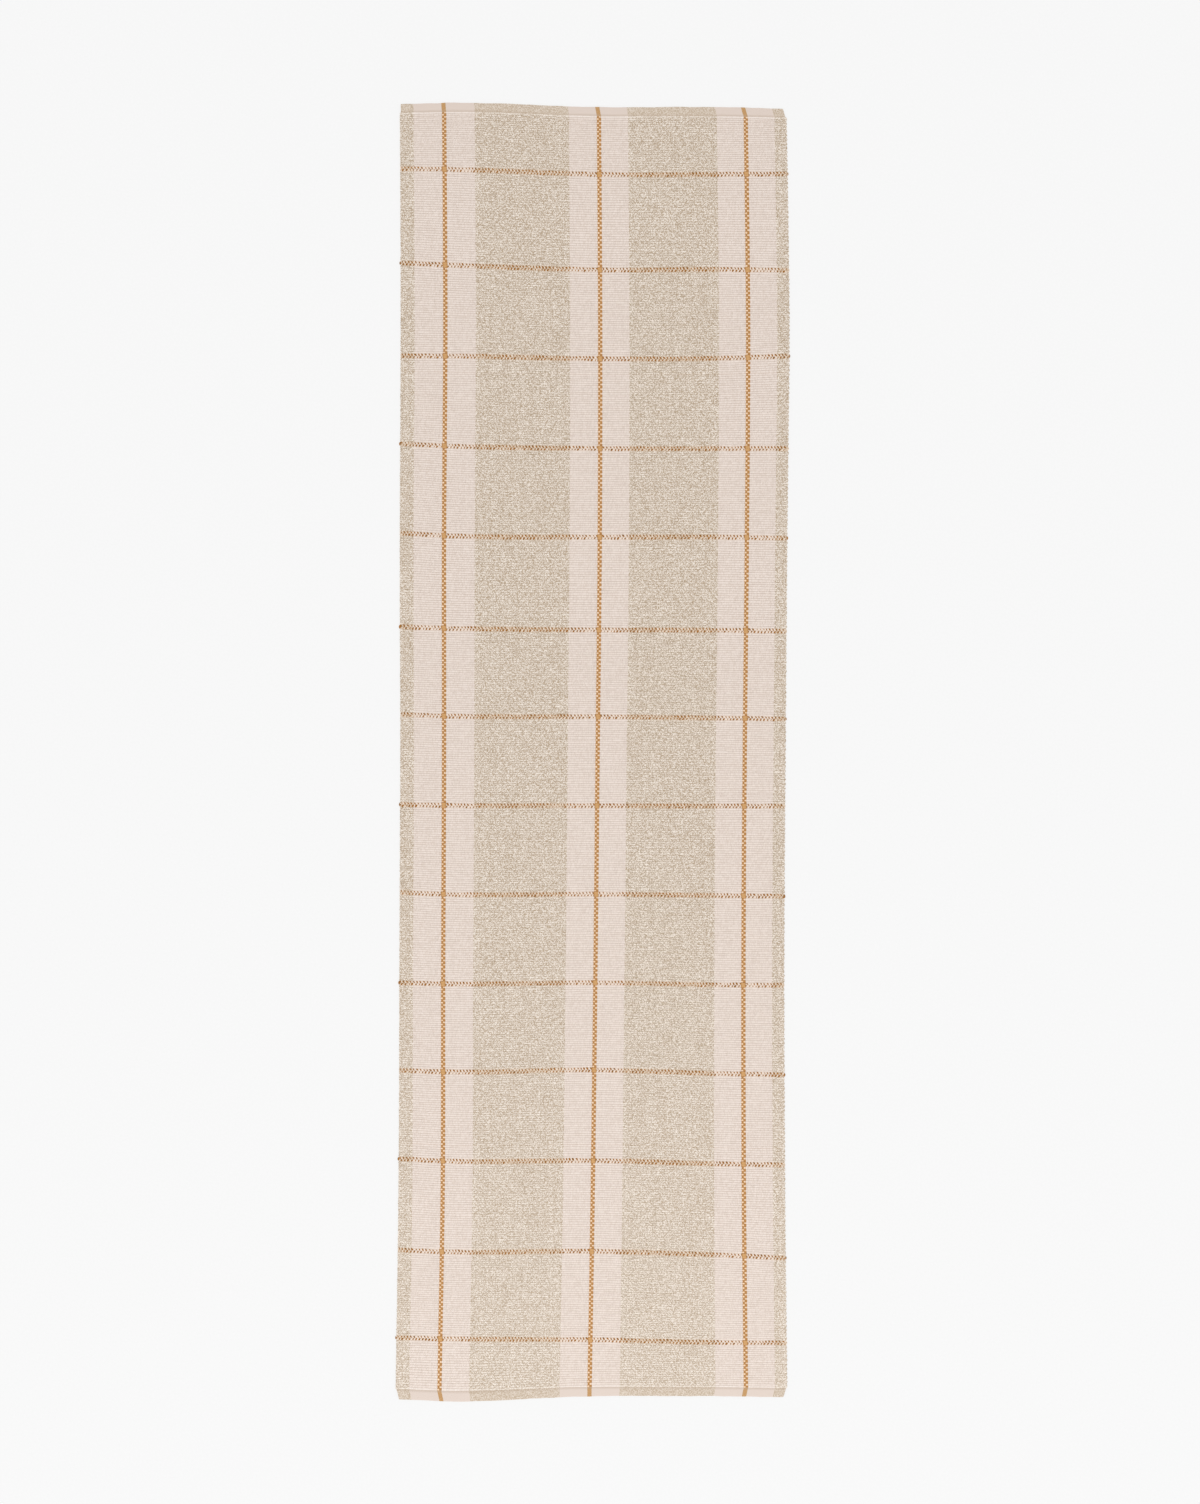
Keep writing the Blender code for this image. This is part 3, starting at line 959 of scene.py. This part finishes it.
def twisted(tree, across, count, turns_across, turns_along):
    """The plies of a thick yarn as a height from 0 to 1, and how its dye took, from 0,
    dark, to 1, light."""
    along = node(tree, "Math", (count, turns_along), operation="MULTIPLY")
    turns = node(tree, "Math", (across, turns_across, along), operation="MULTIPLY_ADD")
    plies = node(tree, "Math", (turns, 1.0), operation="PINGPONG")
    place = node(tree, "CombineXYZ", (across, count))
    dyed = node(tree, "TexNoise", {"Vector": place, "Scale": 0.8, "Detail": 3.0})
    return plies, node(tree, "MapRange", (dyed, 0.28, 0.6), interpolation_type="SMOOTHSTEP")


def rust_warp_cotton():
    """Thick rust cotton yarn, dyed in the hank, with a painted highlight where a yarn crowns
    over a rib and painted shade, deep brown, where it dips between its neighbours."""
    dye = colours()
    material, tree, (across, count, height) = cotton("woven rust cotton yarn", 0.85, 0.2)
    plies, dyed = twisted(tree, across, count, 1.6, 1.3)
    # Painted shade: the share of lit rust over the deep brown ground rises with the yarn's height,
    # so low dips stay painted shade.
    top = node(tree, "MapRange", (height, 0.7, 1.3), interpolation_type="SMOOTHSTEP")
    # Painted highlight on the highest crowns, broken up by the dye's unevenness.
    light = node(tree, "Math", (top, dyed), operation="MULTIPLY")
    layers = ((top, dye.rust), (light, dye.pale_rust_and_highlight))
    finish_cotton(tree, (*dye.deep_rust_and_painted_shade, 1.0), layers, plies, 0.2 * MM, 0.6)
    return material


def rust_weft_cotton():
    """The same rust cotton laid as weft: brown marks between the warp ends, lighter where
    it covers the rust warps."""
    dye = colours()
    material, tree, (across, count, over_rust) = cotton("laid rust cotton weft", 0.88, 0.15)
    plies, dyed = twisted(tree, across, count, 1.2, 3.0)
    layers = ((dyed, dye.weft), (over_rust, dye.rust_crossing))
    finish_cotton(tree, (*dye.weft_dark, 1.0), layers, plies, 0.15 * MM, 0.5)
    return material


def hem_cotton():
    """The heading woven in fine weft, pressed and sewn: smooth, with fine lines along the
    warp, the stripes' own colours, and the oat yarn's flecks. Toward its inner edge the hem
    is painted darker, as painted shade."""
    dye = colours()
    material, tree, (across, inward, kind) = cotton("pressed hem cotton", 0.9, 0.1)
    oat = node(tree, "MapRange", (kind, 0.4, 0.6))
    rust = node(tree, "MapRange", (kind, 1.4, 1.6))
    place = node(tree, "CombineXYZ", (across, inward))
    ends = node(tree, "Math", (across, 1 / END_MM["oat"]), operation="MULTIPLY")
    end = node(tree, "Math", (ends,), operation="FLOOR")
    fleck = node(tree, "Math", (melange(tree, end, place), 0.85), operation="MULTIPLY")
    fleck = node(tree, "Math", (oat, fleck), operation="MULTIPLY")
    dyed = node(tree, "TexNoise", {"Vector": place, "Scale": 0.9, "Detail": 3.0})
    dyed = node(tree, "MapRange", (dyed, 0.35, 0.65, 1.0, 0.0))
    deep = node(tree, "Math", (rust, dyed), operation="MULTIPLY")
    lines = node(tree, "Math", (ends, 0.5), operation="PINGPONG")
    grain = node(tree, "TexNoise", {"Vector": place, "Scale": 1.4, "Detail": 3.0})
    height = node(tree, "Math", (lines, 0.4, grain), operation="MULTIPLY_ADD")
    worn = node(tree, "MapRange", (height, 0.35, 0.85, 0.0, 0.12))
    # Painted shade: the hem is painted darker toward its inner edge, beside the ribs.
    pressed_with_painted_shade = node(tree, "MapRange", (inward, 8.2, 10.4, 0.0, 0.35))
    layers = (
        (oat, dye.hem_oat),
        (fleck, dye.oat_dark),
        (rust, dye.hem_rust),
        (deep, dye.deep_rust_and_painted_shade),
        (worn, dye.oat_dark),
        (pressed_with_painted_shade, dye.oat_painted_shade),
    )
    finish_cotton(tree, (*dye.hem, 1.0), layers, height, 0.2 * MM, 0.5)
    return material


def thread_cotton():
    """Mercerised cotton sewing thread: finely twisted, a little glossier than the cloth."""
    dye = colours()
    material, tree, (across, _, _) = cotton("twisted cotton sewing thread", 0.7, 0.1)
    turns = node(tree, "Math", (across, 1 / 0.6), operation="MULTIPLY")
    plies = node(tree, "Math", (turns, 0.5), operation="PINGPONG")
    layers = ((plies, dye.darker_cream_and_painted_shade),)
    finish_cotton(tree, (*dye.thread, 1.0), layers, plies, 0.05 * MM, 0.5)
    return material


def floor_paint():
    """Matt white paper sweep, lit evenly from behind the paper as well, with a faint
    tooth."""
    white = (*colours().floor, 1.0)
    material = bpy.data.materials.new("matt white paper")
    material.use_nodes = True
    tree = material.node_tree
    shader = tree.nodes["Principled BSDF"]
    shader.inputs["Roughness"].default_value = 0.95
    shader.inputs["Specular IOR Level"].default_value = 0.0
    shader.inputs["Emission Color"].default_value = white
    shader.inputs["Emission Strength"].default_value = 0.83
    place = node(tree, "TexCoord", (), "Object")
    tooth = node(tree, "TexNoise", {"Vector": place, "Scale": 400.0})
    dim = node(tree, "MapRange", (tooth, 0.3, 0.7, 0.82, 0.835))
    base = node(tree, "Mix", {0: dim, 6: white, 7: (0.0, 0.0, 0.0, 1.0)}, 2, data_type="RGBA")
    tree.links.new(base, shader.inputs["Base Color"])
    return material


# ---------------------------------------------------------------- stage and operators

# In metres and watts. The lamp stands low beyond the near end and leans over the cloth.
FLOOR_REACH = 30.0
SKY_STRENGTH = 0.98
LAMP_SIZE = (2.6, 1.0)
LAMP_POWER = 4.0
LAMP_PLACE = (0.0, -1.45, 0.95)
LAMP_TILT = math.atan2(0.8, 0.95)
CAMERA_PLACE = (0.0079, 0.0001, 4.13)


class RUNNER_OT_weave_rust(bpy.types.Operator):
    """Weave the three pairs of rust warp yarns"""

    bl_idname = "runner.weave_rust"
    bl_label = "Weave rust warps"

    def execute(self, context):
        weave_stripes("rust", rust_warp_cotton())
        return {"FINISHED"}


class RUNNER_OT_lay_wefts(bpy.types.Operator):
    """Lay the fourteen accent lines of rust weft"""

    bl_idname = "runner.lay_wefts"
    bl_label = "Lay rust wefts"

    def execute(self, context):
        edges, material = rib_edges(), rust_weft_cotton()
        for line in range(1, ACCENTS + 1):
            lay_weft(line, edges, material)
        return {"FINISHED"}


class RUNNER_OT_weave_cream(bpy.types.Operator):
    """Weave the six cream stripes"""

    bl_idname = "runner.weave_cream"
    bl_label = "Weave cream stripes"

    def execute(self, context):
        weave_stripes("cream", cream_cotton())
        return {"FINISHED"}


class RUNNER_OT_weave_oat(bpy.types.Operator):
    """Weave the two oat fields and the two oat selvedges"""

    bl_idname = "runner.weave_oat"
    bl_label = "Weave oat stripes"

    def execute(self, context):
        weave_stripes("oat", oat_cotton())
        return {"FINISHED"}


class RUNNER_OT_sew_hems(bpy.types.Operator):
    """Sew the threads that hold the hems"""

    bl_idname = "runner.sew_hems"
    bl_label = "Sew hem threads"

    def execute(self, context):
        material = thread_cotton()
        for side in ("far", "near"):
            sew_hem(side, material)
        return {"FINISHED"}


class RUNNER_OT_fold_hems(bpy.types.Operator):
    """Fold the two hems"""

    bl_idname = "runner.fold_hems"
    bl_label = "Fold hems"

    def execute(self, context):
        material = hem_cotton()
        for side in ("far", "near"):
            fold_hem(side, material)
        return {"FINISHED"}


class RUNNER_OT_set_stage(bpy.types.Operator):
    """Set the floor, the soft light and the camera straight above"""

    bl_idname = "runner.set_stage"
    bl_label = "Set stage"

    def execute(self, context):
        scene = context.scene
        far = FLOOR_REACH
        corners = [(-far, -far, 0), (far, -far, 0), (far, far, 0), (-far, far, 0)]
        mesh = bpy.data.meshes.new("floor")
        mesh.from_pydata(corners, [], [(0, 1, 2, 3)])
        mesh.materials.append(floor_paint())
        floor = bpy.data.objects.new("floor", mesh)
        scene.collection.objects.link(floor)

        world = bpy.data.worlds.new("soft box")
        world.use_nodes = True
        sky = world.node_tree.nodes["Background"]
        sky.inputs[0].default_value = (1.0, 1.0, 1.0, 1.0)
        sky.inputs[1].default_value = SKY_STRENGTH
        scene.world = world

        light = bpy.data.lights.new("overhead softbox", "AREA")
        light.shape = "RECTANGLE"
        light.size, light.size_y = LAMP_SIZE
        light.energy = LAMP_POWER
        lamp = bpy.data.objects.new("overhead softbox", light)
        lamp.location = LAMP_PLACE
        lamp.rotation_euler = (LAMP_TILT, 0.0, 0.0)
        scene.collection.objects.link(lamp)

        data = bpy.data.cameras.new("straight above")
        data.lens = 85.0
        data.sensor_width = 36.0
        camera = bpy.data.objects.new("straight above", data)
        camera.location = CAMERA_PLACE
        scene.collection.objects.link(camera)
        scene.camera = camera
        scene.view_settings.view_transform = "Standard"
        return {"FINISHED"}


OPERATORS = (
    RUNNER_OT_weave_rust,
    RUNNER_OT_lay_wefts,
    RUNNER_OT_weave_cream,
    RUNNER_OT_weave_oat,
    RUNNER_OT_sew_hems,
    RUNNER_OT_fold_hems,
    RUNNER_OT_set_stage,
)


class RUNNER_PT_panel(bpy.types.Panel):
    """Lists the runner's steps, sizes and colours"""

    bl_idname = "RUNNER_PT_panel"
    bl_label = "Table runner"
    bl_space_type = "VIEW_3D"
    bl_region_type = "UI"
    bl_category = "Runner"

    def draw(self, context):
        for operator in OPERATORS:
            self.layout.operator(operator.bl_idname)
        for group in (context.scene.runner_sizes, context.scene.runner_colours):
            box = self.layout.box()
            for name in group.bl_rna.properties.keys():
                if name not in ("rna_type", "name"):
                    box.prop(group, name)


CLASSES = (RunnerSizes, RunnerColours, *OPERATORS, RUNNER_PT_panel)


def register():
    for item in CLASSES:
        bpy.utils.register_class(item)
    bpy.types.Scene.runner_sizes = PointerProperty(type=RunnerSizes)
    bpy.types.Scene.runner_colours = PointerProperty(type=RunnerColours)


def unregister():
    del bpy.types.Scene.runner_colours
    del bpy.types.Scene.runner_sizes
    for item in reversed(CLASSES):
        bpy.utils.unregister_class(item)


def main():
    """Registers the add-on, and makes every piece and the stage."""
    register()
    for operator in OPERATORS:
        group, action = operator.bl_idname.split(".")
        getattr(getattr(bpy.ops, group), action)()


if __name__ == "__main__":
    main()
